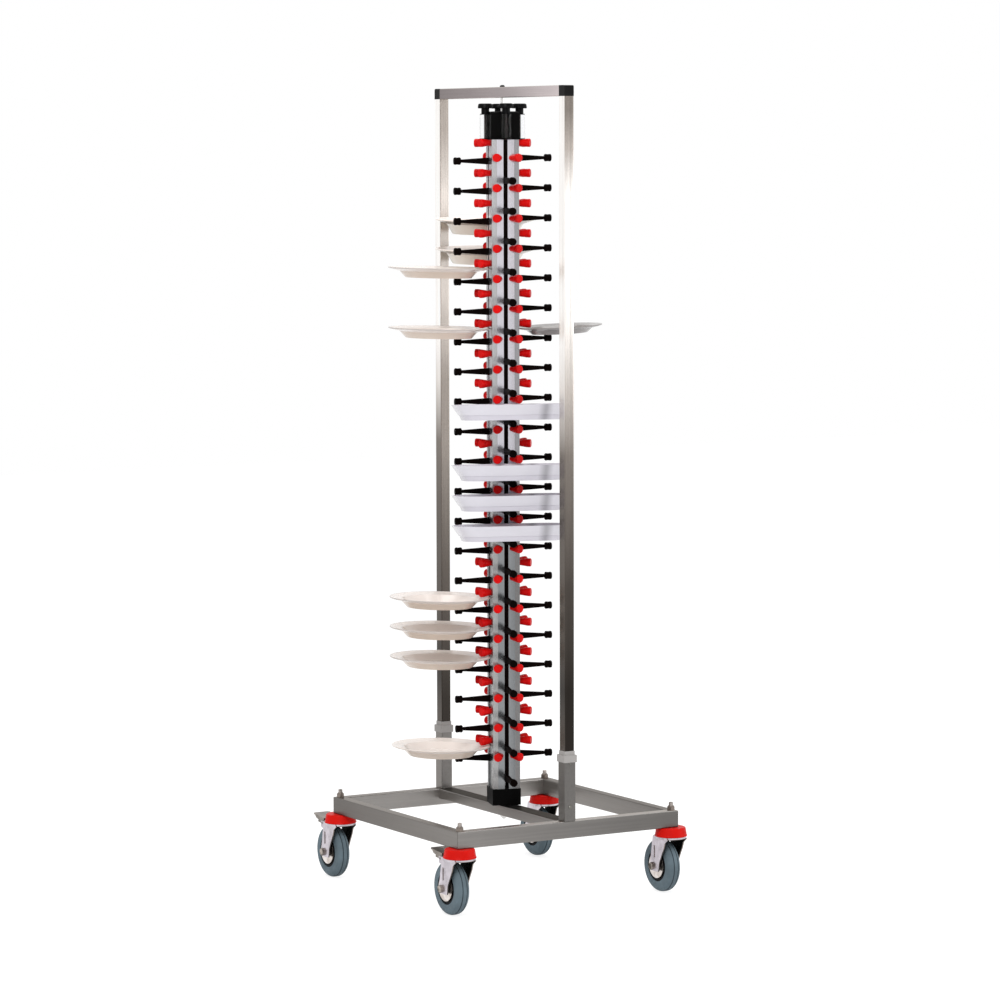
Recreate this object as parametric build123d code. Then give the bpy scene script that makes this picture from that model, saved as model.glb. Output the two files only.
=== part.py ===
from build123d import *
import os
from math import cos, pi, radians, sin, tan

# Plate dispenser cart: a square wheeled base, an arch of square tube over it and
# a turning column between the two. Each of the column's four sides has a stack of
# bays. In a bay two splayed pegs press on a plate's rim and one arm carries its foot.
# Millimetres. +Z is up and the floor is z = 0. Pieces are drawn about the column's
# axis; when saved, they move so that the middle of the whole is at x = y = 0.

# ---------------------------------------------------------------- driving sizes
# base frame
base_size = 600.0
rail_width = 25.0
rail_height = 40.0
rail_bottom = 159.0
rail_radius = 2.5
tube_wall = 1.5
cross_bar_width = 40.0
cross_bar_height = 25.0

# arch over the column
upright_size = 25.0
upright_radius = 2.0
socket_size = 30.0
socket_radius = 2.5
socket_wall = 2.0
socket_height = 146.0
arch_top = 1898.0
elbow_rounding = 4.5
spigot_length = 30.0
spigot_gap = 0.2

# collar where an upright enters its socket
collar_size = 35.0
collar_height = 17.0
collar_lap = 8.5
collar_neck_size = 28.0
collar_neck_height = 9.5
collar_gap = 0.15
collar_edge = 1.2

# screws through the sockets
screw_radius = 2.0
screw_gap = 0.1
low_screw_height = 33.0
low_screw_head = 4.6
high_screw_drop = 3.4
high_screw_head = 3.0
screw_head_rise = 2.4

# spindle that the column turns on
spindle_radius = 4.0
running_gap = 0.05
hole_gap = 0.2
washer_radius = 17.0
washer_height = 1.0
cap_radius = 6.0
cap_height = 5.0
end_nut_flats = 17.0
end_nut_height = 7.0
end_nut_dome = 5.5

# column
column_yaw = -18.5
column_half = 34.0
flat_half_width = 20.5
corner_reach = 32.7
profile_wall = 3.0
slot_width = 10.0
block_half = 34.4
bottom_block_height = 39.0
column_below_arch = 123.0
top_block_height = 66.0
shoulder_radius = 8.0
block_edge = 1.5

# bays
level_count = 21
level_pitch = 70.7
first_side_drop = 7.5
first_front_drop = 42.8
first_rear_drop = 39.3

# pegs
peg_offset = 15.0
peg_splay = 25.0
peg_root_radius = 6.5
peg_radius = 9.8
peg_cone_length = 21.5
peg_length = 30.0
peg_ring_depth = 1.0
peg_ring_width = 1.4
peg_end_rounding = 1.3
peg_buried = 4.0

# arms and the racks that carry them
arm_tip = 117.0
arm_head_length = 16.5
arm_head_radius = 8.7
arm_head_waist = 0.4
arm_head_edge = 1.6
arm_neck_half = 3.5
arm_root_half = 8.4
arm_half_thickness = 3.8
rack_half_width = 7.0
rack_inner = 23.0
rack_gap = 0.4
rack_foot = 10.0
rack_head_room = 2.0

arm_drop = {"front": 53.3, "rear": 53.3, "left": 42.5, "right": 35.0}

# knobs, the screws that they turn on and the clear sleeves round the screws
lift_reach = 41.0
sleeve_radius = 13.25
sleeve_wall = 1.5
sleeve_height = 55.5
sleeve_gap = 0.1
sleeve_foot = 3.0
screw_hole_gap = 0.1
lift_screw_radius = 3.0
lift_screw_lap = 12.0
knob_radius = 17.5
knob_height = 11.5
knob_lip = 4.0
knob_neck_radius = 9.5
knob_neck_height = 14.5
knob_collar_radius = 12.6
knob_collar_height = 2.0
knob_scallops = 8
knob_scallop_radius = 5.0
knob_scallop_depth = 0.6

# castors
wheel_radius = 62.5
wheel_width = 32.0
tyre_shoulder = 13.0
tyre_groove_place = 5.5
tyre_groove_width = 1.6
tyre_groove_depth = 1.2
rim_radius = 38.0
rim_half_width = 14.0
rim_wall = 6.0
rim_web_half = 5.0
hub_radius = 13.0
hub_half_length = 15.5
tyre_seat_gap = 0.05
axle_radius = 5.0
axle_head_flats = 16.0
axle_head_height = 5.5
guard_radius = 30.0
guard_thickness = 2.0
guard_boss_radius = 9.0
guard_gap = 0.8
castor_trail = 38.0
leg_inner = 24.5
leg_thickness = 3.0
leg_corner = 3.0
leg_lip = 3.0
leg_rib = 1.6
leg_rib_near = 3.0
leg_rib_far = 9.0
leg_foot = 11.0
leg_foot_front = 26.0
axle_margin = 8.0
# front edge of a leg: how far before the axle, and at what share of the way up to the crown
leg_front_edge = [(53.0, 0.86), (48.0, 0.66), (38.0, 0.40), (29.0, 0.14)]
leg_rib_span = (0.30, 0.72)
crown_reach = 25.0
lug_margin = 6.0
crown_radius = 36.0
crown_thickness = 5.0
crown_top = 137.0
kingpin_radius = 6.0
kingpin_head_radius = 10.0
kingpin_head_height = 4.5
swivel_gap = 0.3
cover_top_radius = 35.0
cover_bottom_radius = 38.5
cover_lip = 2.0
cover_bottom = 138.0
cover_wall = 2.5
bearing_radius = 27.0
bearing_height = 15.0
stud_radius = 5.0
stud_rise = 19.0
stud_nut_flats = 17.0
stud_nut_height = 8.0
stud_nut_collar = 7.2
stud_nut_collar_height = 3.0
stud_dimple_radius = 1.8
stud_dimple_depth = 2.0

# brake pedals, on the two left castors
pedal_pivot_y = 43.0
pedal_pivot_z = 132.5
pedal_pin_radius = 3.0
pedal_half_width = 22.0
pedal_reach = 101.5
pedal_skirt = 8.0
pedal_rise = 6.0
pedal_top = 143.0
pedal_sheet = 3.0
shoe_reach = 78.0
shoe_bottom = 127.8
pedal_boss_radius = 6.0
pedal_room = 1.0

# plates: rim radius (or length and depth), and the levels that hold one
plate_thickness = 4.0
plate_from_axis = 34.4
# from the pegs' axis down to the near rim: more where the plate tilts more, so that it slides out
plate_under_peg = {"front": 11.5, "rear": 10.7, "left": 10.5, "right": 10.9}
plate_over_arm = 0.3
plate_tilt = {"front": 3.0, "rear": 2.0, "left": 1.2, "right": 2.6}
plate_offset = {"front": -6.0, "rear": 10.0, "left": 0.0, "right": 0.0}
plate_foot_share = 0.65
plate_wall_share = 0.77
plate_flare_share = 0.22
plate_lip = 1.2
plate_rim_thickness = 3.0
dinner_plate_radius = 119.5
lowest_plate_radius = 117.5
side_plate_radius = 102.0
dish_width = 276.0
dish_depth = 164.0
dish_corner = 62.0
dish_from_axis = 36.0
dish_foot_inset = 17.5
dish_foot_draft = 5.0
dish_foot_height = 12.0
dish_step = 1.5
loaded_levels = {
    "front": (8, 10, 11, 12),
    "rear": (2, 3),
    "left": (4, 6, 15, 16, 17, 20),
    "right": (6,),
}

# ---------------------------------------------------------------- worked-out places
centre_shift = (castor_trail + wheel_radius - cover_bottom_radius) / 2
rail_top = rail_bottom + rail_height
rail_centre = base_size / 2 - rail_width / 2
rail_inside = base_size / 2 - rail_width
cross_bar_bottom = rail_top - cross_bar_height
bar_bottom = arch_top - upright_size
block_bottom = rail_top + washer_height
block_top = block_bottom + bottom_block_height
socket_top = rail_top + socket_height
column_top = arch_top - column_below_arch
collar_bottom = socket_top - collar_lap
collar_step = collar_bottom + collar_height
sleeve_top = column_top + sleeve_foot + sleeve_height
rack_outer = column_half - profile_wall - rack_gap
leg_outer = leg_inner + leg_thickness
side_azimuth = {"front": 270.0, "right": 0.0, "rear": 90.0, "left": 180.0}
first_level = {
    "front": column_top - first_front_drop,
    "rear": column_top - first_rear_drop,
    "left": column_top - first_side_drop,
    "right": column_top - first_side_drop,
}
castor_places = {
    "front_left": (-rail_centre, -rail_centre),
    "front_right": (rail_centre, -rail_centre),
    "rear_left": (-rail_centre, rail_centre),
    "rear_right": (rail_centre, rail_centre),
}


# ---------------------------------------------------------------- shared helpers
def save(name, shapes):
    """Write one node: a single solid, or a group of separate ones."""
    solids = []
    for shape in shapes if isinstance(shapes, list) else [shapes]:
        solids.extend((Pos(0, -centre_shift, 0) * shape).solids())
    node = solids[0] if len(solids) == 1 else Compound(children=solids)
    node.label = name
    export_step(node, f"parts/{name}.step")


def turned(points):
    """Solid of revolution about Z through (radius, height) points."""
    outline = Polyline(*[(r, 0, z) for r, z in points], close=True)
    return revolve(make_face(outline), Axis.Z)


def rod(radius, low, high):
    return Pos(0, 0, low) * Cylinder(radius, high - low, align=(Align.CENTER, Align.CENTER, Align.MIN))


def slab(x0, x1, y0, y1, z0, z1):
    """Block between two corners."""
    centre = Pos((x0 + x1) / 2, (y0 + y1) / 2, (z0 + z1) / 2)
    return centre * Box(x1 - x0, y1 - y0, z1 - z0)


def hexagon(flats, low, high):
    return Pos(0, 0, low) * extrude(RegularPolygon(flats / 2, 6, major_radius=False), high - low)


def tube_section(width, height, radius, wall):
    return RectangleRounded(width, height, radius) - Rectangle(width - 2 * wall, height - 2 * wall)


def upright_tube(size, radius, wall, low, high):
    return Pos(0, 0, low) * extrude(tube_section(size, size, radius, wall), high - low)


def lying_tube(width, height, radius, wall, length):
    """Tube along Y, centred on the origin."""
    section = Plane.XZ * tube_section(width, height, radius, wall)
    return extrude(section, length / 2, both=True)


def on_side(shape, side):
    """Turn what is built on the +X side of the column to one of its four sides."""
    return Rot(0, 0, side_azimuth[side] + column_yaw) * shape


def level_height(side, level):
    return first_level[side] - level * level_pitch


# ---------------------------------------------------------------- base frame
def mitred_rail():
    """Front rail: a lying rectangular tube with mitred ends and half a stud hole at each."""
    half = base_size / 2
    rail = Pos(0, -rail_centre, rail_bottom + rail_height / 2) * Rot(0, 0, 90) * lying_tube(
        rail_width, rail_height, rail_radius, tube_wall, base_size
    )
    outline = [(-half, -half), (half, -half), (rail_inside, -rail_inside), (-rail_inside, -rail_inside)]
    mitre = extrude(make_face(Polyline(*outline, close=True)), rail_top + 1)
    rail = rail & mitre
    for x in (-rail_centre, rail_centre):
        rail -= Pos(x, -rail_centre, 0) * rod(stud_radius + hole_gap, rail_bottom - 1, rail_top + 1)
    return rail


def cross_bar():
    bar = Pos(0, 0, rail_top - cross_bar_height / 2) * lying_tube(
        cross_bar_width, cross_bar_height, rail_radius, tube_wall, 2 * rail_inside
    )
    return bar - rod(spindle_radius + hole_gap, cross_bar_bottom - 1, rail_top + 1)


def outward_hole(height):
    """Cutter for a screw through the walls on the outer (-Y) side of a socket."""
    depth = socket_size / 2
    return Pos(0, -depth, height) * Rot(90, 0, 0) * Cylinder(screw_radius + screw_gap, depth)


def socket():
    post = upright_tube(socket_size, socket_radius, socket_wall, rail_top, socket_top)
    for height in screw_heights():
        post -= outward_hole(height)
    return post


def screw_heights():
    return rail_top + low_screw_height, collar_bottom - high_screw_drop


def upright():
    post = upright_tube(upright_size, upright_radius, tube_wall, rail_top, bar_bottom)
    for height in screw_heights():
        post -= outward_hole(height)
    return post


def collar():
    """Plastic collar: a square ring over the socket's mouth and a neck round the upright."""
    ring = extrude(RectangleRounded(collar_size, collar_size, 2 * collar_edge), collar_height)
    ring = fillet(ring.edges().group_by(Axis.Z)[-1], collar_edge)
    ring = fillet(ring.edges().group_by(Axis.Z)[0], collar_edge)
    neck = RectangleRounded(collar_neck_size, collar_neck_size, socket_radius)
    neck = extrude(neck, collar_neck_height)
    neck = chamfer(neck.edges().group_by(Axis.Z)[-1], collar_edge / 2)
    body = Pos(0, 0, collar_bottom) * ring + Pos(0, 0, collar_step) * neck
    mouth = socket_size + 2 * collar_gap
    bore = upright_size + 2 * collar_gap
    body -= slab(-mouth / 2, mouth / 2, -mouth / 2, mouth / 2, collar_bottom - 1, socket_top)
    neck_top = collar_step + collar_neck_height
    body -= slab(-bore / 2, bore / 2, -bore / 2, bore / 2, socket_top - 1, neck_top + 1)
    return body


def screw(head_radius, height):
    """Domed screw through the socket's outer wall into the upright."""
    inner = upright_size / 2 - tube_wall - 1
    outer = socket_size / 2
    shank = rod(screw_radius, -outer, -inner)
    rise = screw_head_rise
    dome = [(0, 0), (0.55 * head_radius, 0), (head_radius, 0.7 * rise), (head_radius, rise), (0, rise)]
    head = Pos(0, 0, -outer - rise) * turned(dome)
    return Pos(0, 0, height) * Rot(-90, 0, 0) * (shank + head)


def elbow():
    """Moulded corner of the arch: a cube with a spigot in the upright and one in the bar."""
    cube = Box(upright_size, upright_size, upright_size)
    outer_edge = cube.edges().filter_by(Axis.X).sort_by(Axis.Z)[-2:].sort_by(Axis.Y)[0]
    cube = fillet(outer_edge, elbow_rounding)
    plug = upright_size - 2 * tube_wall - 2 * spigot_gap
    start = upright_size / 2 - tube_wall
    down = slab(-plug / 2, plug / 2, -plug / 2, plug / 2, -upright_size / 2 - spigot_length, -start)
    along = slab(-plug / 2, plug / 2, start, upright_size / 2 + spigot_length, -plug / 2, plug / 2)
    return Pos(0, 0, bar_bottom + upright_size / 2) * (cube + down + along)


def top_bar():
    bar = Pos(0, 0, bar_bottom + upright_size / 2) * lying_tube(
        upright_size, upright_size, upright_radius, tube_wall, 2 * rail_inside
    )
    return bar - rod(spindle_radius + hole_gap, bar_bottom - 1, arch_top + 1)


def at_front(shape):
    return Pos(0, -rail_centre, 0) * shape


def at_rear(shape):
    return Rot(0, 0, 180) * at_front(shape)


def end_nut():
    """Acorn nut under the cross bar."""
    low = cross_bar_bottom - end_nut_height
    half = end_nut_flats / 2
    dome = turned([(0, -end_nut_dome), (0.35 * half, -0.8 * end_nut_dome), (0.8 * half, 0), (0, 0)])
    nut = hexagon(end_nut_flats, low, cross_bar_bottom) + Pos(0, 0, low) * dome
    return nut - rod(spindle_radius, low, cross_bar_bottom)


def spindle_cap():
    """Domed cap on the bar, over the spindle's upper end."""
    r, high = cap_radius, cap_height
    dome = turned([(0, 0), (r, 0), (r, 0.4 * high), (0.6 * r, 0.9 * high), (0, high)])
    return Pos(0, 0, arch_top) * (dome - rod(spindle_radius, 0, high / 2))


def build_frame():
    rail = mitred_rail()
    for name, azimuth in side_azimuth.items():
        save(f"{name}_rail", Rot(0, 0, azimuth - side_azimuth["front"]) * rail)
    save("cross_bar", cross_bar())
    save("upright_sockets", [at_front(socket()), at_rear(socket())])
    save("upright_collars", [at_front(collar()), at_rear(collar())])
    save("front_upright", at_front(upright()))
    save("rear_upright", at_rear(upright()))
    save("corner_elbows", [at_front(elbow()), at_rear(elbow())])
    save("top_bar", top_bar())
    low, high = screw_heights()
    screws = []
    for place in (at_front, at_rear):
        screws.append(place(screw(low_screw_head, low)))
        screws.append(place(screw(high_screw_head, high)))
    save("socket_screws", screws)
    save("spindle", rod(spindle_radius, cross_bar_bottom - end_nut_height, arch_top + cap_height / 2))
    save("spindle_cap", spindle_cap())
    washer = rod(washer_radius, rail_top, block_bottom)
    washer -= rod(spindle_radius + hole_gap, rail_top, block_bottom)
    save("spindle_nut_and_washer", [end_nut(), washer])


# ---------------------------------------------------------------- column
def corner_profile():
    """Angle-shaped extrusion for the corner between the +X and +Y sides."""
    slot = slot_width / 2
    inner = column_half - profile_wall
    inner_corner = corner_reach - profile_wall
    outline = [
        (column_half, slot),
        (column_half, flat_half_width),
        (corner_reach, corner_reach),
        (flat_half_width, column_half),
        (slot, column_half),
        (slot, inner),
        (flat_half_width, inner),
        (inner_corner, inner_corner),
        (inner, flat_half_width),
        (inner, slot),
    ]
    face = make_face(Polyline(*outline, close=True))
    return Pos(0, 0, block_top) * extrude(face, column_top - block_top)


def bottom_block():
    block = slab(-block_half, block_half, -block_half, block_half, block_bottom, block_top)
    block = fillet(block.edges().filter_by(Axis.Z), block_edge)
    return block - rod(spindle_radius + running_gap, block_bottom, block_top)


def top_block():
    """Block with four pockets for the sleeves and a foot under each."""
    high = column_top + top_block_height
    block = slab(-block_half, block_half, -block_half, block_half, column_top, high)
    block = fillet(block.edges().filter_by(Axis.Z), block_edge)
    block = fillet(block.edges().group_by(Axis.Z)[-1], shoulder_radius)
    block -= rod(spindle_radius + running_gap, column_top, high)
    foot_top = column_top + sleeve_foot
    pocket = Pos(lift_reach, 0, 0) * rod(sleeve_radius + sleeve_gap, foot_top, high)
    foot = Pos(lift_reach, 0, 0) * rod(sleeve_radius, column_top, foot_top)
    hole = Pos(lift_reach, 0, 0) * rod(lift_screw_radius + screw_hole_gap, column_top, foot_top)
    for azimuth in side_azimuth.values():
        block -= Rot(0, 0, azimuth) * pocket
        block += Rot(0, 0, azimuth) * foot
        block -= Rot(0, 0, azimuth) * hole
    return block


def sleeve():
    """Clear tube round one lift screw, standing on its foot."""
    tube = rod(sleeve_radius, column_top + sleeve_foot, sleeve_top)
    tube -= rod(sleeve_radius - sleeve_wall, column_top + sleeve_foot, sleeve_top)
    return Pos(lift_reach, 0, 0) * tube


def lift_screw():
    """Steel rod from the foot up into the knob that turns on it."""
    return Pos(lift_reach, 0, 0) * rod(lift_screw_radius, column_top, sleeve_top + lift_screw_lap)


def peg(hand):
    """Splayed peg on the +X side, cut flush with the column's flat face."""
    ring = peg_cone_length
    points = [
        (0, -peg_buried),
        (peg_root_radius, -peg_buried),
        (peg_root_radius, 0),
        (peg_radius, ring),
        (peg_radius - peg_ring_depth, ring),
        (peg_radius - peg_ring_depth, ring + peg_ring_width),
        (peg_radius, ring + peg_ring_width),
        (peg_radius, peg_length - peg_end_rounding),
        (peg_radius - peg_end_rounding, peg_length),
        (0, peg_length),
    ]
    lying = Rot(0, 0, hand * peg_splay) * Rot(0, 90, 0) * turned(points)
    placed = Pos(column_half, hand * peg_offset, 0) * lying
    wall = slab(0, column_half, -column_half, column_half, -column_half, column_half)
    return placed - wall


def build_column():
    profile = corner_profile()
    names = {"right": "rear_right", "rear": "rear_left", "left": "front_left", "front": "front_right"}
    for side, name in names.items():
        save(f"{name}_profile", on_side(profile, side))
    save("bottom_block", Rot(0, 0, column_yaw) * bottom_block())
    save("top_block", Rot(0, 0, column_yaw) * top_block())
    save("knob_sleeves", [on_side(sleeve(), side) for side in side_azimuth])
    save("lift_screws", [on_side(lift_screw(), side) for side in side_azimuth])
    pair = [peg(-1), peg(1)]
    for side in side_azimuth:
        pegs = []
        for level in range(level_count):
            place = Pos(0, 0, level_height(side, level))
            pegs.extend(on_side(place * one, side) for one in pair)
        save(f"{side}_pegs", pegs)


# ---------------------------------------------------------------- arms and lift gear
def arm():
    """Arm on the +X side: a blade that tapers out through the slot to a round head."""
    neck = arm_tip - arm_head_length
    root = Plane((rack_outer, 0, 0), x_dir=(0, 1, 0), z_dir=(1, 0, 0)) * Rectangle(
        2 * arm_half_thickness, 2 * arm_root_half
    )
    end = Plane((neck + 1, 0, 0), x_dir=(0, 1, 0), z_dir=(1, 0, 0)) * Rectangle(
        2 * arm_neck_half, 2 * arm_neck_half
    )
    blade = loft([root, end])
    waist = arm_head_radius - arm_head_waist
    third = arm_head_length / 3
    head = turned(
        [
            (0, 0),
            (arm_head_radius - arm_head_edge, 0),
            (arm_head_radius, arm_head_edge),
            (arm_head_radius, third),
            (waist, third + arm_head_waist),
            (waist, 2 * third - arm_head_waist),
            (arm_head_radius, 2 * third),
            (arm_head_radius, arm_head_length - arm_head_edge),
            (arm_head_radius - arm_head_edge, arm_head_length),
            (0, arm_head_length),
        ]
    )
    return blade + Pos(neck, 0, 0) * Rot(0, 90, 0) * head


def rack(side):
    """Bar behind the slot that carries a side's arms."""
    lowest = level_height(side, level_count - 1) - arm_drop[side]
    half = rack_half_width
    return slab(rack_inner, rack_outer, -half, half, lowest - rack_foot, column_top - rack_head_room)


def knob():
    """Mushroom knob with a scalloped edge, standing on its sleeve."""
    under = sleeve_top + knob_neck_height
    top = under + knob_height
    body = turned(
        [
            (0, sleeve_top),
            (knob_collar_radius, sleeve_top),
            (knob_collar_radius, sleeve_top + knob_collar_height),
            (knob_neck_radius, sleeve_top + knob_collar_height),
            (knob_neck_radius, under),
            (knob_radius - 1, under),
            (knob_radius, under + 1),
            (knob_radius, under + knob_lip),
            (0.93 * knob_radius, top - 0.35 * knob_lip),
            (0.75 * knob_radius, top),
            (0, top),
        ]
    )
    bite = rod(knob_scallop_radius, under - 1, top + 1)
    reach = knob_radius + knob_scallop_radius - knob_scallop_depth
    for step in range(knob_scallops):
        body -= Rot(0, 0, step * 360 / knob_scallops) * Pos(reach, 0, 0) * bite
    body -= rod(lift_screw_radius + running_gap, sleeve_top, sleeve_top + lift_screw_lap + 1)
    return Pos(lift_reach, 0, 0) * body


def build_lift():
    one_arm = arm()
    one_knob = knob()
    for side in side_azimuth:
        pieces = [on_side(rack(side), side)]
        for level in range(level_count):
            place = Pos(0, 0, level_height(side, level) - arm_drop[side])
            pieces.append(on_side(place * one_arm, side))
        save(f"{side}_arms", pieces)
        save(f"{side}_knob", on_side(one_knob, side))


# ---------------------------------------------------------------- castors
def kingpin():
    """Fixed pin of a castor: rivet head, bearing cup and the stud through the frame corner."""
    crown_bottom = crown_top - crown_thickness
    head_bottom = crown_bottom - swivel_gap - kingpin_head_height
    cup_bottom = crown_top + swivel_gap
    stud_top = rail_top + stud_rise
    pin = turned(
        [
            (0, head_bottom),
            (kingpin_head_radius, head_bottom),
            (kingpin_head_radius, crown_bottom - swivel_gap),
            (kingpin_radius, crown_bottom - swivel_gap),
            (kingpin_radius, cup_bottom),
            (bearing_radius, cup_bottom),
            (bearing_radius, cup_bottom + bearing_height),
            (stud_radius, cup_bottom + bearing_height),
            (stud_radius, stud_top - 1),
            (stud_radius - 1, stud_top),
            (0, stud_top),
        ]
    )
    return pin - rod(stud_dimple_radius, stud_top - stud_dimple_depth, stud_top)


def stud_nut():
    top = rail_top + stud_nut_height
    nut = hexagon(stud_nut_flats, rail_top, top) + rod(stud_nut_collar, top, top + stud_nut_collar_height)
    nut = chamfer(nut.edges().group_by(Axis.Z)[-1], 1)
    return nut - rod(stud_radius + running_gap, rail_top, top + stud_nut_collar_height)


def swivel_cover():
    """Flared plastic cover round the swivel bearing, under the frame corner."""
    wall = cover_wall
    cover = turned(
        [
            (stud_radius + running_gap, rail_bottom),
            (cover_top_radius - 2, rail_bottom),
            (cover_top_radius, rail_bottom - 2),
            (cover_bottom_radius - 1, cover_bottom + 2 * cover_lip),
            (cover_bottom_radius, cover_bottom + cover_lip),
            (cover_bottom_radius, cover_bottom),
            (cover_bottom_radius - wall, cover_bottom),
            (cover_top_radius - wall, rail_bottom - wall),
            (stud_radius + running_gap, rail_bottom - wall),
        ]
    )
    return cover


def across(radius, y, z, length):
    """Cylinder along X."""
    return Pos(0, y, z) * Rot(0, 90, 0) * Cylinder(radius, length)


def fork_leg(braked):
    """One pressed leg, from the crown back and down to the axle; a braked one has a lug."""
    y, z = castor_trail, wheel_radius
    climb = crown_top - crown_thickness - z
    outline = [(-crown_reach, crown_top), (-crown_reach - leg_lip, crown_top - crown_thickness)]
    outline += [(y - before, z + share * climb) for before, share in leg_front_edge]
    outline += [
        (y - leg_foot_front, z - leg_foot),
        (y + axle_margin - 1, z - leg_foot),
        (y + axle_margin + 1, z + leg_foot),
        (crown_radius, crown_top),
    ]
    face = make_face(Polyline(*[(0, a, b) for a, b in outline], close=True))
    corners = [v for v in face.vertices() if v.Z < crown_top - crown_thickness - 1]
    leg = extrude(fillet(corners, leg_corner), leg_thickness, dir=(1, 0, 0))
    low, high = [z + share * climb for share in leg_rib_span]
    rib = slab(0, leg_thickness + leg_rib, y - leg_rib_far, y - leg_rib_near, low, high)
    leg += fillet(rib.edges().filter_by(Axis.X), leg_rib)
    if braked:
        reach = pedal_pivot_y + lug_margin
        lug = slab(0, leg_thickness, 0, reach, pedal_pivot_z - 2 * lug_margin, crown_top)
        leg += fillet(lug.edges().filter_by(Axis.X).sort_by(Axis.Z)[:2].sort_by(Axis.Y)[-1], lug_margin)
    return Pos(leg_inner, 0, 0) * leg


def fork(braked):
    """Crown disc with two legs that straddle the wheel."""
    crown_bottom = crown_top - crown_thickness
    body = rod(crown_radius, crown_bottom, crown_top)
    deck_end = min(crown_radius, pedal_pivot_y - pedal_boss_radius - pedal_room)
    body += slab(-leg_outer, leg_outer, -crown_reach, deck_end, crown_bottom + 1, crown_top)
    leg = fork_leg(braked)
    body += leg
    body += mirror(leg, about=Plane.YZ)
    body -= rod(kingpin_radius + running_gap, crown_bottom, crown_top)
    body -= across(axle_radius + running_gap, castor_trail, wheel_radius, 4 * leg_outer)
    if braked:
        body -= across(pedal_pin_radius + running_gap, pedal_pivot_y, pedal_pivot_z, 4 * leg_outer)
    return body


def axle():
    """Axle bolt with a head and a nut, and the two dished guards beside the hub."""
    bolt = rod(axle_radius, -leg_outer, leg_outer)
    bolt += hexagon(axle_head_flats, -leg_outer - axle_head_height, -leg_outer)
    bolt += hexagon(axle_head_flats, leg_outer, leg_outer + axle_head_height)
    inner = hub_half_length + guard_gap
    guard = turned(
        [
            (axle_radius, inner),
            (guard_radius - 3, inner),
            (guard_radius, inner - 1),
            (guard_radius, inner - 1 + guard_thickness),
            (guard_radius - 4, inner + guard_thickness),
            (guard_boss_radius + 4, inner + guard_thickness),
            (guard_boss_radius, leg_inner),
            (axle_radius, leg_inner),
        ]
    )
    lay = Pos(0, castor_trail, wheel_radius) * Rot(0, 90, 0)
    return [lay * bolt, lay * guard, lay * mirror(guard, about=Plane.XY)]


def tyre():
    half = wheel_width / 2
    inner = rim_radius + tyre_seat_gap
    face = Plane.XZ * Pos((inner + wheel_radius) / 2, 0) * Rectangle(wheel_radius - inner, wheel_width)
    outer = [v for v in face.vertices() if v.X > wheel_radius - 1]
    face = fillet(outer, tyre_shoulder)
    ring = revolve(face, Axis.Z)
    for place in (-tyre_groove_place, tyre_groove_place):
        low = place - tyre_groove_width / 2
        high = place + tyre_groove_width / 2
        groove = rod(wheel_radius + 1, low, high) - rod(wheel_radius - tyre_groove_depth, low, high)
        ring -= groove
    return Pos(0, castor_trail, wheel_radius) * Rot(0, 90, 0) * (ring & rod(wheel_radius + 1, -half, half))


def rim():
    """Moulded wheel centre: a broad rim, a thin web and a hub on the axle."""
    body = turned(
        [
            (axle_radius + running_gap, -hub_half_length),
            (hub_radius, -hub_half_length),
            (hub_radius, -rim_web_half),
            (rim_radius - rim_wall, -rim_web_half),
            (rim_radius - rim_wall, -rim_half_width),
            (rim_radius, -rim_half_width),
            (rim_radius, rim_half_width),
            (rim_radius - rim_wall, rim_half_width),
            (rim_radius - rim_wall, rim_web_half),
            (hub_radius, rim_web_half),
            (hub_radius, hub_half_length),
            (axle_radius + running_gap, hub_half_length),
        ]
    )
    return Pos(0, castor_trail, wheel_radius) * Rot(0, 90, 0) * body


def pedal():
    """Brake pedal: a skirted tread plate with a shorter shoe under it, on a cross pin."""
    half = pedal_half_width
    sheet = pedal_sheet
    start = pedal_pivot_y + 2
    tread = slab(-half, half, start, pedal_reach, pedal_top - sheet, pedal_top)
    tread = fillet(tread.edges().filter_by(Axis.Z).sort_by(Axis.Y)[-2:], 2 * sheet)
    side = [
        (start, pedal_top),
        (pedal_reach - pedal_skirt, pedal_top),
        (pedal_reach - 2 * pedal_skirt, pedal_top - pedal_skirt),
        (start, shoe_bottom),
    ]
    edge = Polyline(*[(half - sheet, a, b) for a, b in side], close=True)
    skirt = extrude(make_face(edge), sheet, dir=(1, 0, 0))
    shoe = slab(-half, half, start, shoe_reach, shoe_bottom, shoe_bottom + sheet)
    shoe = fillet(shoe.edges().filter_by(Axis.Z).sort_by(Axis.Y)[-2:], 2 * sheet)
    web = slab(-half, half, start, start + sheet, shoe_bottom, pedal_top)
    body = tread + skirt + mirror(skirt, about=Plane.YZ) + shoe + web
    pin = Rot(0, 90, 0) * Cylinder(pedal_pin_radius, 2 * leg_outer - 1)
    boss = Rot(0, 90, 0) * Cylinder(pedal_boss_radius, 2 * leg_inner - 2 * swivel_gap)
    low = shoe_bottom - pedal_pivot_z
    boss = boss & slab(-leg_outer, leg_outer, -pedal_reach, pedal_reach, low, pedal_boss_radius)
    pivot = Pos(0, pedal_pivot_y, pedal_pivot_z)
    return pivot * Rot(pedal_rise, 0, 0) * (pivot.inverse() * body + pin + boss)


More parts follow.
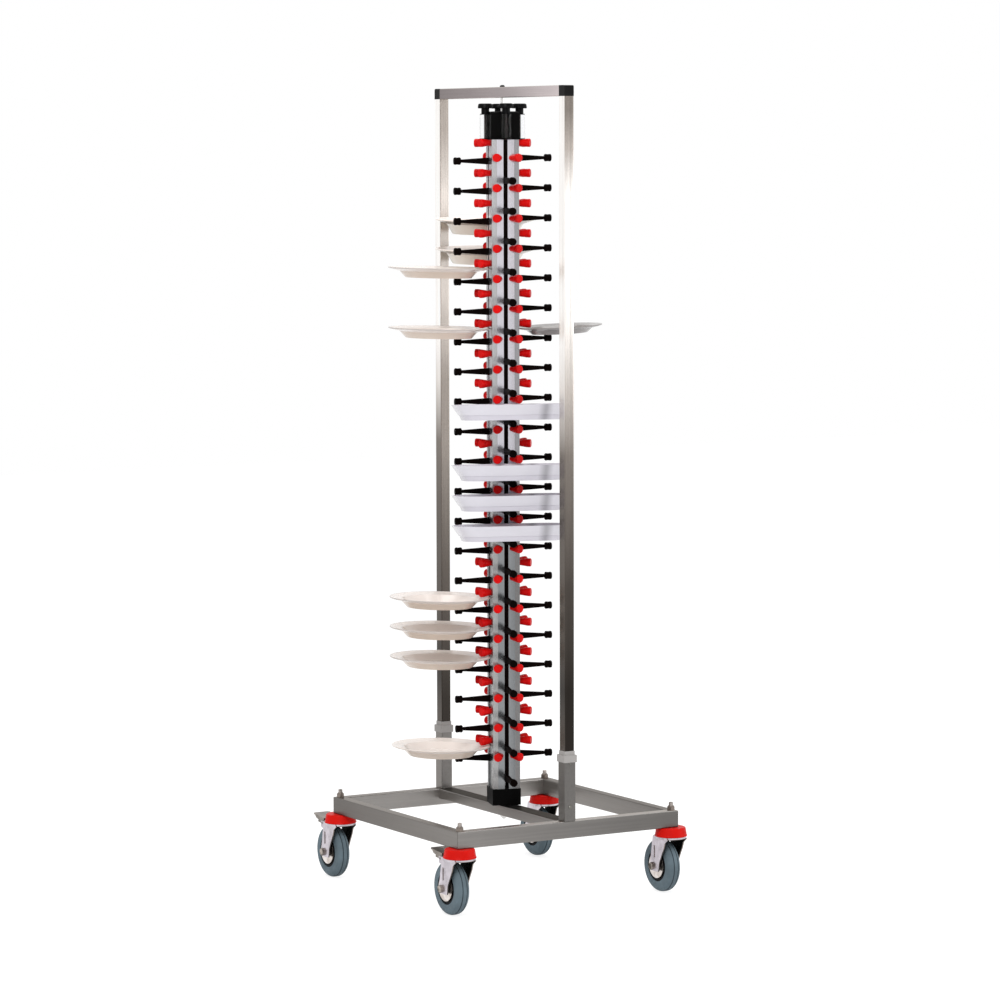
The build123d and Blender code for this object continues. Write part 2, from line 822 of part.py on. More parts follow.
def build_castors():
    plain_fork = fork(False)
    braked_fork = fork(True)
    one_axle = axle()
    one_tyre = tyre()
    one_rim = rim()
    one_pedal = pedal()
    corners = [Pos(x, y, 0) for x, y in castor_places.values()]
    save("castor_studs", [corner * kingpin() for corner in corners])
    save("stud_nuts", [corner * stud_nut() for corner in corners])
    save("swivel_covers", [corner * swivel_cover() for corner in corners])
    for name, (x, y) in castor_places.items():
        corner = Pos(x, y, 0)
        save(f"{name}_fork", corner * (braked_fork if name.endswith("left") else plain_fork))
        save(f"{name}_axle", [corner * piece for piece in one_axle])
        save(f"{name}_tyre", corner * one_tyre)
        save(f"{name}_rim", corner * one_rim)
        if name.endswith("left"):
            save(f"{name}_brake_pedal", corner * one_pedal)


# ---------------------------------------------------------------- plates
def plate_start(side):
    return dish_from_axis if side == "front" else plate_from_axis


def plate_height(side):
    """From just under the pegs down to the near end of the arm's head, on a tilted plate."""
    lift = (arm_tip - arm_head_length - plate_start(side)) * tan(radians(plate_tilt[side]))
    return arm_drop[side] - arm_head_radius - plate_under_peg[side] - plate_over_arm + lift


def round_plate(radius, height):
    """Round plate with a flat foot, a sloping wall and a flared rim."""
    t = plate_thickness
    foot = plate_foot_share * radius
    wall = plate_wall_share * radius
    shoulder = height - plate_flare_share * height
    outline = [
        (0, 0),
        (foot, 0),
        (wall, shoulder - t),
        (radius - plate_lip, height - plate_rim_thickness),
        (radius, height - plate_rim_thickness / 2),
        (radius - plate_lip, height),
        (wall, shoulder),
        (foot - t, t),
        (0, t),
    ]
    return turned(outline)


def dish_section(inset, height):
    return Pos(0, 0, height) * RectangleRounded(
        dish_depth - 2 * inset, dish_width - 2 * inset, dish_corner - 0.7 * inset
    )


def square_dish(height):
    """Deep dish, rounded in plan, with a stepped foot and a flared wall."""
    t = plate_thickness
    foot_low = dish_section(dish_foot_inset + dish_foot_draft, 0)
    foot_top = dish_section(dish_foot_inset, dish_foot_height)
    foot = loft([foot_low, foot_top], ruled=True)
    low_wall = dish_foot_inset - dish_step
    wall = loft([dish_section(low_wall, dish_foot_height), dish_section(0, height)], ruled=True)
    slope = low_wall / (height - dish_foot_height)
    floor_inset = low_wall + t + slope * (dish_foot_height - t)
    hollow = loft([dish_section(floor_inset, t), dish_section(t - slope, height + 1)], ruled=True)
    return foot + wall - hollow


def plate(side, level):
    """One plate: its near rim under the pegs, tilted a little up at its outer end."""
    height = plate_height(side)
    rim = level_height(side, level) - plate_under_peg[side]
    if side == "front":
        whole = Pos(dish_depth / 2, 0, -height) * square_dish(height)
    else:
        radius = side_plate_radius if side == "right" else dinner_plate_radius
        if side == "left" and level == level_count - 1:
            radius = lowest_plate_radius
        whole = Pos(radius, 0, -height) * round_plate(radius, height)
    near_rim = Pos(plate_start(side), plate_offset[side], rim)
    return on_side(near_rim * Rot(0, -plate_tilt[side], 0) * whole, side)


def build_plates():
    for side, levels in loaded_levels.items():
        save(f"{side}_plates", [plate(side, level) for level in levels])


build_frame()
build_column()
build_lift()
build_castors()
build_plates()
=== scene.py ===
import bpy
import bmesh
import math
from mathutils import Matrix, Vector

# A wheeled plate dispenser cart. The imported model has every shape; this script adds the
# materials, light, floor and camera. Metres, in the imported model's frame.

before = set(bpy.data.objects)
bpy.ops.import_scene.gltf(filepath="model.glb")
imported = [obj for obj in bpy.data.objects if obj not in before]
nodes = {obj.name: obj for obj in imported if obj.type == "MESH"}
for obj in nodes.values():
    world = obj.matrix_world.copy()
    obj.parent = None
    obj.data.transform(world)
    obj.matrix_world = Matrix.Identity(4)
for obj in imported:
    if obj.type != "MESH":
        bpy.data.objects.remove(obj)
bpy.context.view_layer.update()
scene = bpy.context.scene
scene.view_settings.view_transform = "Standard"

SIDES = ("front", "right", "rear", "left")
CORNERS = ("front_left", "front_right", "rear_left", "rear_right")

# the column's axis stands in the middle of the base, a little in front of the origin
AXIS_Y = -0.031
COLUMN_YAW = math.radians(-18.5)

# the camera, placed from the column's foot; degrees to the right of +Y, down, and rolled
CAMERA_PLACE = (-4.8103, -8.1356, 1.7385)
CAMERA_TURN = (30.548, 4.92, -0.132)
CAMERA_LENS_MM = 144.19
CAMERA_SENSOR_MM = 36

# column profiles: a ribbed corner band lies further than this from both middle planes
BAND_START = 0.0206
RIB_PITCH = 0.0016

# castors: distances from a wheel's middle plane, and heights on the fork
CASTOR_X = 0.2875
GROOVE_PLACE = 0.0055
LEG_INNER = 0.025
BOLT_HEAD_START = 0.02685
# top of the painted shade inside the fork
PAINTED_SHADE_TOP = 0.1328
CROWN_EDGE = 0.1334

# the left plates share one upright axis, this far out from the column's
LEFT_PLATES_OUT = 0.1539
LEFT_PLATES_RADIUS = 0.1195
# a painted reflection: the soft band on the front dishes, to the right of the column's axis
REFLECTION_BAND_RIGHT = 0.06116

# steel finishes
SATIN = 0.34
POLISHED = 0.22


# ------------------------------------------------------------------ camera
def place_camera():
    yaw, pitch, roll = (math.radians(angle) for angle in CAMERA_TURN)
    level = math.cos(pitch)
    forward = Vector((math.sin(yaw) * level, math.cos(yaw) * level, -math.sin(pitch)))
    right = Vector((math.cos(yaw), -math.sin(yaw), 0))
    up = right.cross(forward)
    rolled_right = right * math.cos(roll) + up * math.sin(roll)
    rolled_up = up * math.cos(roll) - right * math.sin(roll)
    turn = Matrix((rolled_right, rolled_up, -forward)).transposed().to_4x4()
    x, y, z = CAMERA_PLACE
    data = bpy.data.cameras.new("camera")
    data.sensor_width = CAMERA_SENSOR_MM
    data.lens = CAMERA_LENS_MM
    data.clip_end = 100
    camera = bpy.data.objects.new("camera", data)
    camera.matrix_world = Matrix.Translation((x, y + AXIS_Y, z)) @ turn
    scene.collection.objects.link(camera)
    scene.camera = camera


# ------------------------------------------------------------------ colours and nodes
def shade(colour, factor):
    return tuple(min(1.0, channel * factor) for channel in colour)


def grey(level):
    return (level, level, level)


def warm(level):
    """Steel's slightly warm grey."""
    return shade((1.05, 1.0, 0.955), level)


def pinkish(level):
    """The top bar's grey, a little pink."""
    return shade((1.10, 0.98, 0.99), level)


def rosy(level):
    """The uprights' grey, browner where it is darker."""
    dark = 1.0 - min(1.0, level)
    return (level * (1.03 + 0.14 * dark), level, level * (0.97 - 0.10 * dark))


def put(material, *names):
    for name in names:
        slots = nodes[name].data.materials
        slots.clear()
        slots.append(material)


def on_sides(kind):
    return [f"{side}_{kind}" for side in SIDES]


def on_corners(kind):
    return [f"{corner}_{kind}" for corner in CORNERS]


# ------------------------------------------------------------------ shader helpers
class Shader:
    """A material with a Principled BSDF and a few shorthand calls."""

    def __init__(self, name, colour, metallic=0.0, roughness=0.4, **inputs):
        self.material = bpy.data.materials.new(name)
        self.material.use_nodes = True
        self.tree = self.material.node_tree
        self.bsdf = self.tree.nodes["Principled BSDF"]
        self.bsdf.inputs["Base Color"].default_value = (*colour, 1)
        self.bsdf.inputs["Metallic"].default_value = metallic
        self.bsdf.inputs["Roughness"].default_value = roughness
        for key, value in inputs.items():
            self.bsdf.inputs[key.replace("_", " ")].default_value = value
        coordinates = self.node("ShaderNodeTexCoord")
        self.place = coordinates.outputs["Object"]
        self.facing = coordinates.outputs["Normal"]
        self.bumped = None

    def node(self, kind, **settings):
        made = self.tree.nodes.new(kind)
        for key, value in settings.items():
            setattr(made, key, value)
        return made

    def feed(self, socket, value):
        """Link an output to a socket, or set a number or a colour on it."""
        if isinstance(value, (int, float)):
            socket.default_value = value
        elif isinstance(value, tuple):
            socket.default_value = (*value, 1)
        else:
            self.tree.links.new(value, socket)

    def part(self, vector, letter):
        split = self.node("ShaderNodeSeparateXYZ")
        self.feed(split.inputs[0], vector)
        return split.outputs[letter]

    def column_place(self):
        """Object coordinates from the column's axis, turned to the column's own sides."""
        local = self.node("ShaderNodeMapping")
        self.feed(local.inputs["Vector"], self.place)
        local.inputs["Rotation"].default_value = (0, 0, -COLUMN_YAW)
        back = (-math.sin(COLUMN_YAW) * AXIS_Y, -math.cos(COLUMN_YAW) * AXIS_Y, 0)
        local.inputs["Location"].default_value = back
        return local.outputs["Vector"]

    def castor_lateral(self):
        """Distance from the middle plane of the nearer castors."""
        outward = self.math("ABSOLUTE", self.part(self.place, "X"))
        return self.math("ABSOLUTE", self.math("SUBTRACT", outward, CASTOR_X))

    def noise(self, scale, detail=4.0, stretch=(1, 1, 1)):
        stretched = self.node("ShaderNodeMapping")
        stretched.inputs["Scale"].default_value = stretch
        self.feed(stretched.inputs["Vector"], self.place)
        texture = self.node("ShaderNodeTexNoise")
        texture.inputs["Scale"].default_value = scale
        texture.inputs["Detail"].default_value = detail
        self.feed(texture.inputs["Vector"], stretched.outputs["Vector"])
        return texture.outputs["Fac"]

    def clouds(self, scale, detail=4.0, low=0.3, high=0.7):
        """Soft blotches, from 0 to 1."""
        return self.span(self.noise(scale, detail), low, high)

    def math(self, operation, a, b=0.0):
        made = self.node("ShaderNodeMath", operation=operation)
        self.feed(made.inputs[0], a)
        self.feed(made.inputs[1], b)
        return made.outputs[0]

    def inverse(self, value):
        return self.math("SUBTRACT", 1.0, value)

    def weighted(self, *terms):
        """The sum of (value, share) pairs, each value times its share."""
        total = 0.0
        for value, share in terms:
            total = self.math("ADD", total, self.math("MULTIPLY", value, share))
        return total

    def span(self, value, low, high, to_low=0.0, to_high=1.0):
        made = self.node("ShaderNodeMapRange")
        ends = {"From Min": low, "From Max": high, "To Min": to_low, "To Max": to_high}
        for key, end in ends.items():
            made.inputs[key].default_value = end
        self.feed(made.inputs["Value"], value)
        return made.outputs["Result"]

    def step(self, value, at, soft):
        """0 below a place and 1 above it, with a soft edge on both sides."""
        return self.span(value, at - soft, at + soft)

    def mix(self, share, a, b, blend="MIX"):
        made = self.node("ShaderNodeMix", data_type="RGBA", blend_type=blend)
        colours = [socket for socket in made.inputs if socket.type == "RGBA"]
        self.feed(made.inputs["Factor"], share)
        self.feed(colours[0], a)
        self.feed(colours[1], b)
        return [socket for socket in made.outputs if socket.type == "RGBA"][0]

    def multiply(self, a, b):
        return self.mix(1.0, a, b, "MULTIPLY")

    def ramp(self, value, stops):
        """Colour along a coordinate, from (metres, colour) stops."""
        first, last = stops[0][0], stops[-1][0]
        made = self.node("ShaderNodeValToRGB")
        band = made.color_ramp
        for place, colour in stops[1:-1]:
            band.elements.new((place - first) / (last - first)).color = (*colour, 1)
        band.elements[0].color = (*stops[0][1], 1)
        band.elements[len(stops) - 1].color = (*stops[-1][1], 1)
        self.feed(made.inputs["Fac"], self.span(value, first, last))
        return made.outputs["Color"]

    def paint(self, colour):
        self.feed(self.bsdf.inputs["Base Color"], colour)

    def rough(self, value):
        self.feed(self.bsdf.inputs["Roughness"], value)

    def bump(self, height, strength, distance):
        made = self.node("ShaderNodeBump")
        made.inputs["Strength"].default_value = strength
        made.inputs["Distance"].default_value = distance
        self.feed(made.inputs["Height"], height)
        if self.bumped is not None:
            self.feed(made.inputs["Normal"], self.bumped)
        self.bumped = made.outputs["Normal"]
        self.feed(self.bsdf.inputs["Normal"], self.bumped)

    def metal_grain(self):
        self.bump(self.noise(400.0, detail=3.0), 0.08, 0.0003)


# ------------------------------------------------------------------ steel
def along(axis):
    """Noise stretch for lines that run along one axis."""
    stretch = [900.0, 900.0, 900.0]
    stretch["XYZ".index(axis)] = 9.0
    return tuple(stretch)


def brush(mat, base, roughness, axis, depth):
    """Brush lines along an axis, broader streaks and slow clouds over a base colour."""
    lines = mat.noise(1.0, detail=3.0, stretch=along(axis))
    streaks = mat.noise(0.22, detail=2.0, stretch=along(axis))
    clouds = mat.noise(7.0, detail=3.0)
    tone = mat.weighted((lines, 0.35), (streaks, 0.40), (clouds, 0.25))
    dirt_and_painted_shade = mat.mix(mat.span(tone, 0.35, 0.65), grey(0.84), grey(1.05))
    mat.paint(mat.multiply(base, dirt_and_painted_shade))
    mat.rough(mat.span(tone, 0.3, 0.7, roughness * 0.8, roughness * 1.25))
    mat.bump(lines, depth, 0.0002)
    return mat.material


def post_steel(name, side_levels, face_levels):
    """Polished upright with painted reflection: tones by height, for its left and right sides and for
    the others.
    """
    mat = Shader(name, warm(0.6), metallic=1.0, roughness=POLISHED)
    height = mat.part(mat.place, "Z")
    side = mat.ramp(height, [(at, rosy(level)) for at, level in side_levels])
    face = mat.ramp(height, [(at, rosy(level)) for at, level in face_levels])
    # painted reflection: the sides facing along X and the faces looking along Y each get their own tones
    # by height
    turned = mat.span(mat.math("ABSOLUTE", mat.part(mat.facing, "Y")), 0.3, 0.8)
    return brush(mat, mat.mix(turned, side, face), POLISHED, "Z", depth=0.06)


def tube_steel(name, run, levels, top_level, roughness=SATIN, edge=0.8, tint=warm):
    """Lying tube with painted reflection and shade: its sides' tone changes along the run, and its top
    has a level of its own.
    """
    tone = warm(levels[0][1])
    mat = Shader(name, tone, metallic=1.0, roughness=roughness, Specular_Tint=(*warm(edge), 1))
    # painted reflection: the sides' tone along the run
    sides = mat.ramp(mat.part(mat.place, run), [(at, tint(level)) for at, level in levels])
    # painted light and shade: faces that look up take the top's own level
    lying = mat.span(mat.part(mat.facing, "Z"), 0.3, 0.8)
    return brush(mat, mat.mix(lying, sides, warm(top_level)), roughness, run, depth=0.12)


def plain_metal(name, colour, roughness, size=30.0, spread=0.18):
    """Plated or turned metal: mottled tone and gloss, with a fine grain."""
    mat = Shader(name, colour, metallic=1.0, roughness=roughness)
    clouds = mat.clouds(size, detail=5.0)
    mat.paint(mat.mix(clouds, shade(colour, 1 - spread), shade(colour, 1 + spread)))
    mat.rough(mat.span(clouds, 0.0, 1.0, roughness * 0.8, roughness * 1.25))
    mat.metal_grain()
    return mat.material


def fork_zinc():
    """Zinc plate: pale faces, brownish sheet edges, and near black painted shade between the legs and
    under the crown.
    """
    pale, brown, dirt_and_painted_shade = (0.52, 0.48, 0.52), (0.22, 0.185, 0.165), (0.004, 0.004, 0.0035)
    mat = Shader("fork_zinc", pale, roughness=0.3, Specular_IOR_Level=0.05)
    height = mat.part(mat.place, "Z")
    # painted shade: near black between the legs and below the crown, and not metallic there
    between_legs = mat.inverse(mat.step(mat.castor_lateral(), LEG_INNER, 0.0004))
    under_crown = mat.inverse(mat.step(height, PAINTED_SHADE_TOP, 0.0004))
    in_painted_shade = mat.math("MULTIPLY", between_legs, under_crown)
    sideways = mat.math("ABSOLUTE", mat.part(mat.facing, "X"))
    flat = mat.math("MAXIMUM", sideways, mat.step(height, CROWN_EDGE, 0.0002))
    clouds = mat.clouds(45.0, detail=5.0)
    plate = mat.mix(clouds, shade(pale, 0.72), shade(pale, 1.2))
    face = mat.mix(mat.span(flat, 0.35, 0.85), brown, plate)
    mat.paint(mat.mix(in_painted_shade, face, dirt_and_painted_shade))
    mat.feed(mat.bsdf.inputs["Metallic"], mat.inverse(in_painted_shade))
    mat.rough(mat.span(clouds, 0.0, 1.0, 0.24, 0.38))
    mat.metal_grain()
    return mat.material


def axle_zinc():
    """Pale guard discs inside the fork, darker bolt heads and nuts outside it."""
    mat = Shader("axle_zinc", (0.62, 0.57, 0.54), metallic=1.0, roughness=0.32)
    clouds = mat.clouds(70.0, detail=5.0, low=0.35, high=0.65)
    disc = mat.mix(clouds, (0.50, 0.44, 0.40), (0.74, 0.69, 0.66))
    head = mat.mix(clouds, (0.05, 0.04, 0.03), (0.42, 0.37, 0.33))
    outside = mat.step(mat.castor_lateral(), BOLT_HEAD_START, 0.00035)
    mat.paint(mat.mix(outside, disc, head))
    mat.metal_grain()
    return mat.material


# ------------------------------------------------------------------ column profile
def profile_aluminium():
    """Anodised: smooth flats beside the slot, ribbed corner bands. Painted reflection makes it paler
    towards the top and the bands darker.
    """
    flat, band = (0.66, 0.645, 0.70), (0.34, 0.335, 0.35)
    low_flat, low_band = (0.255, 0.265, 0.275), (0.205, 0.20, 0.20)
    mat = Shader("column_profile", flat, metallic=0.9, roughness=0.2)
    local = mat.column_place()
    across = mat.part(local, "X")
    forth = mat.part(local, "Y")
    lateral = mat.math("MINIMUM", mat.math("ABSOLUTE", across), mat.math("ABSOLUTE", forth))
    at_corner = mat.step(lateral, BAND_START, 0.0003)

    height = mat.part(mat.place, "Z")

    # painted reflection: darker low down, paler higher up
    def rising(low, high):
        return mat.ramp(height, [(0.70, low), (0.83, shade(low, 1.2)), (1.02, high), (1.5, high)])

    flats = rising(low_flat, flat)
    bands = rising(low_band, band)
    # painted light: the bands left of the middle are a little paler
    bands = mat.mix(mat.step(across, 0.0, 0.02), mat.mix(0.22, bands, grey(1.0)), bands)

    clouds = mat.noise(5.0, stretch=(1, 1, 0.3))
    grain = mat.noise(1.0, detail=2.0, stretch=(700, 700, 12))
    tone = mat.span(mat.weighted((clouds, 0.6), (grain, 0.4)), 0.3, 0.7)
    worn = mat.mix(tone, grey(0.90), grey(1.04))
    mat.paint(mat.multiply(mat.mix(at_corner, flats, bands), worn))
    mat.rough(mat.span(tone, 0.0, 1.0, 0.13, 0.22))

    ribs = mat.math("SINE", mat.math("MULTIPLY", lateral, 2 * math.pi / RIB_PITCH))
    mat.bump(mat.math("MULTIPLY", mat.math("ADD", ribs, 1.0), at_corner), 0.25, 0.0003)
    mat.bump(grain, 0.04, 0.0002)
    return mat.material


# ------------------------------------------------------------------ plastics, rubber and glaze
def plastic(name, colour, roughness, specular=0.06, spread=0.12, grain=900.0):
    """Moulded plastic: a faint grain, and slow changes of tone and gloss."""
    mat = Shader(name, colour, roughness=roughness, Specular_IOR_Level=specular)
    clouds = mat.clouds(14.0)
    mat.paint(mat.mix(clouds, shade(colour, 1 - spread), shade(colour, 1 + spread)))
    mat.rough(mat.span(clouds, 0.0, 1.0, roughness * 0.85, roughness * 1.2))
    mat.bump(mat.noise(grain, detail=2.0), 0.05, 0.0002)
    return mat.material


def clear_plastic():
    """Clear tube with faint drawing lines along it."""
    colour = (0.97, 0.975, 0.98)
    mat = Shader("clear_tube", colour, roughness=0.03, Transmission_Weight=1.0, IOR=1.14)
    lines = mat.noise(1.0, detail=3.0, stretch=along("Z"))
    mat.rough(mat.span(lines, 0.3, 0.7, 0.02, 0.10))
    mat.bump(lines, 0.10, 0.0002)
    return mat.material


def tyre_rubber():
    """Grey rubber, scuffed, with painted shade in its two tread grooves."""
    colour = (0.115, 0.155, 0.18)
    mat = Shader("grey_tyre", colour, roughness=0.6, Specular_IOR_Level=0.18)
    scuffs = mat.noise(140.0, detail=5.0)
    rubber = mat.mix(mat.clouds(22.0, detail=6.0), shade(colour, 0.8), shade(colour, 1.2))
    from_groove = mat.math("SUBTRACT", mat.castor_lateral(), GROOVE_PLACE)
    # painted shade: the two tread grooves are darkened to a quarter of the rubber's tone
    outside_grooves = mat.step(mat.math("ABSOLUTE", from_groove), 0.001, 0.0004)
    mat.paint(mat.mix(outside_grooves, shade(colour, 0.25), rubber))
    mat.rough(mat.span(scuffs, 0.3, 0.7, 0.5, 0.75))
    mat.bump(scuffs, 0.12, 0.0004)
    return mat.material


def glaze(name, well, wall, rim, foot=None, reflection_band=None, lip=None):
    """Glazed plate: one tone where it faces up, one on the sloping wall, one under the rim.

    The tones by facing are painted light and shade. A foot tone is for a steeper foot below the wall.
    A band tone is how dark a painted reflection, a soft upright band on the front dishes, gets. A lip is
    the tone of the left plates' outer edge.
    """
    mat = Shader(name, wall, roughness=0.2, Specular_IOR_Level=0.3, Coat_Weight=0.15, Coat_Roughness=0.1)
    up = mat.part(mat.facing, "Z")
    # painted light and shade: the well that faces up, the sloping wall and the rim's underside each take
    # their own tone
    colour = mat.mix(mat.span(up, -0.93, -0.88), rim, wall)
    if foot is not None:
        colour = mat.mix(mat.span(up, -0.50, -0.44), colour, foot)
    colour = mat.mix(mat.span(up, 0.1, 0.4), colour, well)
    if lip is not None:
        at_lip = mat.step(left_plate_radius(mat), LEFT_PLATES_RADIUS - 0.003, 0.002)
        colour = mat.mix(at_lip, colour, lip)
    if reflection_band is not None:
        # painted reflection: a soft darker upright band on the front dishes
        aside = mat.math("SUBTRACT", mat.part(mat.column_place(), "X"), REFLECTION_BAND_RIGHT)
        outside = mat.span(mat.math("ABSOLUTE", aside), 0.002, 0.018)
        colour = mat.multiply(colour, mat.mix(outside, grey(reflection_band), grey(1.0)))
    clouds = mat.clouds(9.0, detail=3.0)
    mat.paint(mat.multiply(colour, mat.mix(clouds, grey(0.95), grey(1.03))))
    mat.rough(mat.span(clouds, 0.0, 1.0, 0.16, 0.26))
    mat.bump(mat.noise(60.0, detail=3.0), 0.04, 0.0004)
    return mat.material


def left_plate_radius(mat):
    """Distance from the left plates' shared upright axis."""
    x = -LEFT_PLATES_OUT * math.cos(COLUMN_YAW)
    y = AXIS_Y - LEFT_PLATES_OUT * math.sin(COLUMN_YAW)
    squares = []
    for letter, centre in (("X", x), ("Y", y)):
        off = mat.math("SUBTRACT", mat.part(mat.place, letter), centre)
        squares.append(mat.math("MULTIPLY", off, off))
    return mat.math("SQRT", mat.math("ADD", *squares))


# ------------------------------------------------------------------ which node wears what
def dress_base():
    """Each tube's tone along its run, as (metres, level) stops. Apart from the mitre line, the tones and
    top levels are painted reflection and shade.
    """
    front = [(-0.3, 0.22), (0.0, 0.172), (0.3, 0.135)]
    rear = [(-0.3, 0.29), (0.3, 0.34)]
    # a dark mitre line at the left rail's front end
    left = [(-0.331, 0.02), (-0.3295, 0.02), (-0.329, 0.215), (0.27, 0.14)]
    right = [(-0.3, 0.20), (0.07, 0.26), (0.3, 0.20)]
    cross = [(-0.3, 0.28), (0.25, 0.34)]
    sockets = [(-0.3, 0.14), (0.25, 0.21)]
    put(tube_steel("front_rail_steel", "X", front, top_level=0.38), "front_rail")
    put(tube_steel("rear_rail_steel", "X", rear, top_level=0.21), "rear_rail")
    put(tube_steel("left_rail_steel", "Y", left, top_level=0.20), "left_rail")
    put(tube_steel("right_rail_steel", "Y", right, top_level=0.12), "right_rail")
    put(tube_steel("cross_bar_steel", "Y", cross, top_level=0.13, edge=0.25), "cross_bar")
    put(tube_steel("socket_steel", "Y", sockets, top_level=0.2), "upright_sockets")
    put(plain_metal("dull_screw_steel", (0.17, 0.165, 0.15), 0.45), "socket_screws")
    put(plain_metal("dark_nut_steel", (0.20, 0.17, 0.15), 0.35), "stud_nuts")


def dress_arch():
    """Each tube's tone along its run or height, as (metres, level) stops. These tones and the top bar's
    top level are painted reflection and shade.
    """
    bar = [(-0.3, 0.6), (-0.03, 0.36), (0.25, 0.24)]
    side = [(0.38, 0.08), (0.50, 0.03), (0.62, 0.08), (0.90, 0.125)]
    side += [(1.05, 0.19), (1.20, 0.79), (1.30, 1.0)]
    near_face = [(0.50, 0.022), (0.75, 0.067), (1.05, 0.195), (1.20, 0.51), (1.35, 0.83)]
    near_face += [(1.50, 1.0), (1.65, 0.90), (1.75, 0.40), (1.84, 0.20)]
    far_face = [(0.42, 0.035), (0.75, 0.11), (1.05, 0.27), (1.20, 0.26)]
    far_face += [(1.35, 0.48), (1.65, 0.55), (1.80, 0.30)]
    put(tube_steel("bar_steel", "Y", bar, top_level=0.6, roughness=POLISHED, tint=pinkish), "top_bar")
    put(post_steel("front_post_steel", side, near_face), "front_upright")
    put(post_steel("rear_post_steel", side, far_face), "rear_upright")
    put(plastic("collar_grey", (0.36, 0.345, 0.335), 0.45, spread=0.05), "upright_collars")
    black = plastic("arch_black", (0.003, 0.0028, 0.0028), 0.3, specular=0.1, spread=0.3)
    put(black, "corner_elbows", "spindle_cap")
    bright = plain_metal("bright_steel", (0.62, 0.61, 0.60), 0.16)
    put(bright, "spindle", "spindle_nut_and_washer")


def dress_column():
    block = plastic("block_black", (0.0015, 0.0014, 0.0014), 0.45, specular=0.04, spread=0.3)
    arm = plastic("arm_black", (0.0028, 0.0013, 0.001), 0.55, specular=0.02, spread=0.3)
    knob = plastic("knob_black", (0.002, 0.002, 0.0024), 0.35, spread=0.3)
    peg = plastic("peg_red", (0.62, 0.005, 0.005), 0.32, grain=500.0)
    put(block, "bottom_block", "top_block")
    put(arm, *on_sides("arms"))
    put(knob, *on_sides("knob"))
    put(peg, *on_sides("pegs"))
    put(profile_aluminium(), *on_corners("profile"))
    put(clear_plastic(), "knob_sleeves")
    put(plain_metal("dark_screw_steel", (0.035, 0.03, 0.03), 0.45), "lift_screws")


def dress_castors():
    put(plastic("cover_red", (0.58, 0.008, 0.005), 0.36), "swivel_covers")
    put(fork_zinc(), *on_corners("fork"))
    put(axle_zinc(), *on_corners("axle"))
    put(tyre_rubber(), *on_corners("tyre"))
    centre = plastic("wheel_black", (0.003, 0.0035, 0.0045), 0.45, spread=0.25)
    put(centre, *on_corners("rim"))
    stud = plain_metal("stud_zinc", (0.30, 0.27, 0.25), 0.3, size=90.0, spread=0.6)
    put(stud, "castor_studs")
    pedal = plain_metal("pedal_zinc", (0.23, 0.205, 0.185), 0.38, size=60.0, spread=0.35)
    put(pedal, "front_left_brake_pedal", "rear_left_brake_pedal")


def dress_plates():
    # the well, wall, rim and foot tones are painted light and shade
    cream = glaze("cream_glaze", well=(0.85, 0.775, 0.72), wall=(0.68, 0.57, 0.485),
                  rim=(0.80, 0.73, 0.69), lip=(0.52, 0.47, 0.44))
    rear = glaze("rear_glaze", well=(0.88, 0.79, 0.74), wall=(0.80, 0.74, 0.66), rim=(0.36, 0.33, 0.29))
    cool = (0.69, 0.675, 0.73)
    dish = glaze("cool_glaze", well=cool, wall=cool, rim=cool, foot=(0.60, 0.58, 0.64), reflection_band=0.60)
    shaded = glaze("shaded_glaze", well=(0.24, 0.225, 0.215), wall=(0.27, 0.255, 0.25),
                   rim=(0.17, 0.155, 0.15))
    put(cream, "left_plates")
    put(rear, "rear_plates")
    put(dish, "front_plates")
    put(shaded, "right_plates")


# ------------------------------------------------------------------ light and floor
def seen_or_mirrored(tree):
    """1 for camera, glossy and transmission rays, else 0."""
    path = tree.nodes.new("ShaderNodeLightPath")
    result = path.outputs["Is Camera Ray"]
    for name in ("Is Glossy Ray", "Is Transmission Ray"):
        either = tree.nodes.new("ShaderNodeMath")
        either.operation = "MAXIMUM"
        tree.links.new(result, either.inputs[0])
        tree.links.new(path.outputs[name], either.inputs[1])
        result = either.outputs[0]
    return result


def two_greys(tree, share, unseen, seen):
    mix = tree.nodes.new("ShaderNodeMix")
    mix.data_type = "RGBA"
    tree.links.new(share, mix.inputs["Factor"])
    colours = [socket for socket in mix.inputs if socket.type == "RGBA"]
    colours[0].default_value = (*grey(unseen), 1)
    colours[1].default_value = (*grey(seen), 1)
    return [socket for socket in mix.outputs if socket.type == "RGBA"][0]


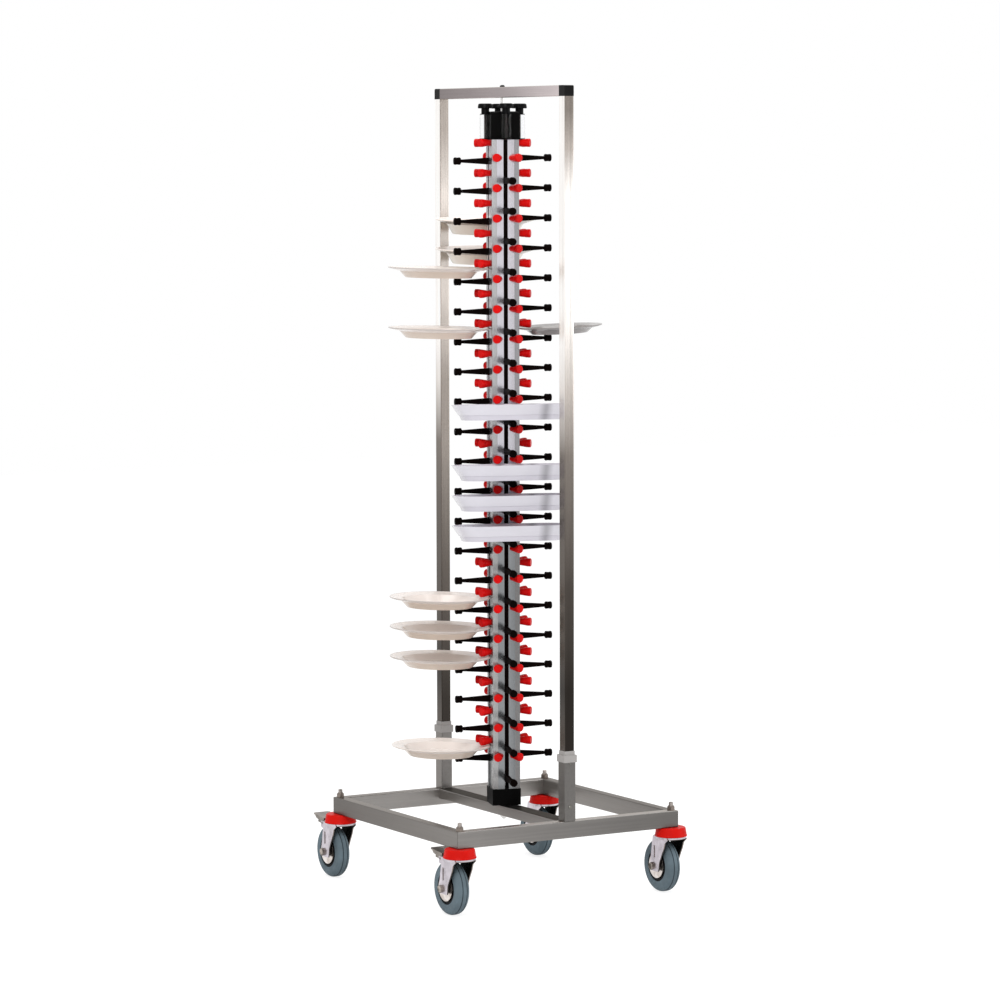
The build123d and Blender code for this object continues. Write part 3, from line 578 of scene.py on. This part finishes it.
def make_world():
    """A grey that lights the cart, and white where it is seen or mirrored."""
    world = bpy.data.worlds.new("studio")
    scene.world = world
    world.use_nodes = True
    tree = world.node_tree
    colour = two_greys(tree, seen_or_mirrored(tree), unseen=0.60, seen=1.0)
    tree.links.new(colour, tree.nodes["Background"].inputs["Color"])


def make_floor():
    """A pale floor just under the wheels, which glows a little where it is seen or mirrored."""
    half_width = 12
    gap = 0.0005
    mesh = bpy.data.meshes.new("floor")
    bm = bmesh.new()
    bmesh.ops.create_grid(bm, x_segments=8, y_segments=8, size=half_width)
    bm.to_mesh(mesh)
    bm.free()
    floor = bpy.data.objects.new("floor", mesh)
    floor.location = (0, 0, -gap)
    scene.collection.objects.link(floor)
    material = bpy.data.materials.new("pale_floor")
    material.use_nodes = True
    tree = material.node_tree
    share = seen_or_mirrored(tree)
    inputs = tree.nodes["Principled BSDF"].inputs
    inputs["Roughness"].default_value = 0.9
    inputs["Specular IOR Level"].default_value = 0.0
    tree.links.new(two_greys(tree, share, unseen=0.86, seen=0.36), inputs["Base Color"])
    inputs["Emission Strength"].default_value = 1.0
    tree.links.new(two_greys(tree, share, unseen=0.0, seen=0.80), inputs["Emission Color"])
    mesh.materials.append(material)


def lamp(name, place, aim, size, watts):
    data = bpy.data.lights.new(name, "AREA")
    data.shape = "RECTANGLE"
    data.size, data.size_y = size
    data.energy = watts
    light = bpy.data.objects.new(name, data)
    light.location = place
    light.rotation_euler = (Vector(aim) - Vector(place)).to_track_quat("-Z", "Y").to_euler()
    scene.collection.objects.link(light)


def make_lights():
    middle, upper = (0, 0, 0.9), (0, 0, 1.0)
    lamp("key", (-3.2, -3.4, 3.4), aim=middle, size=(2.2, 2.2), watts=130)
    lamp("fill", (3.4, -3.0, 1.8), aim=middle, size=(2.0, 2.6), watts=50)
    lamp("top", (0.3, 0.6, 4.2), aim=upper, size=(2.4, 2.4), watts=70)


place_camera()
dress_base()
dress_arch()
dress_column()
dress_castors()
dress_plates()
make_world()
make_floor()
make_lights()
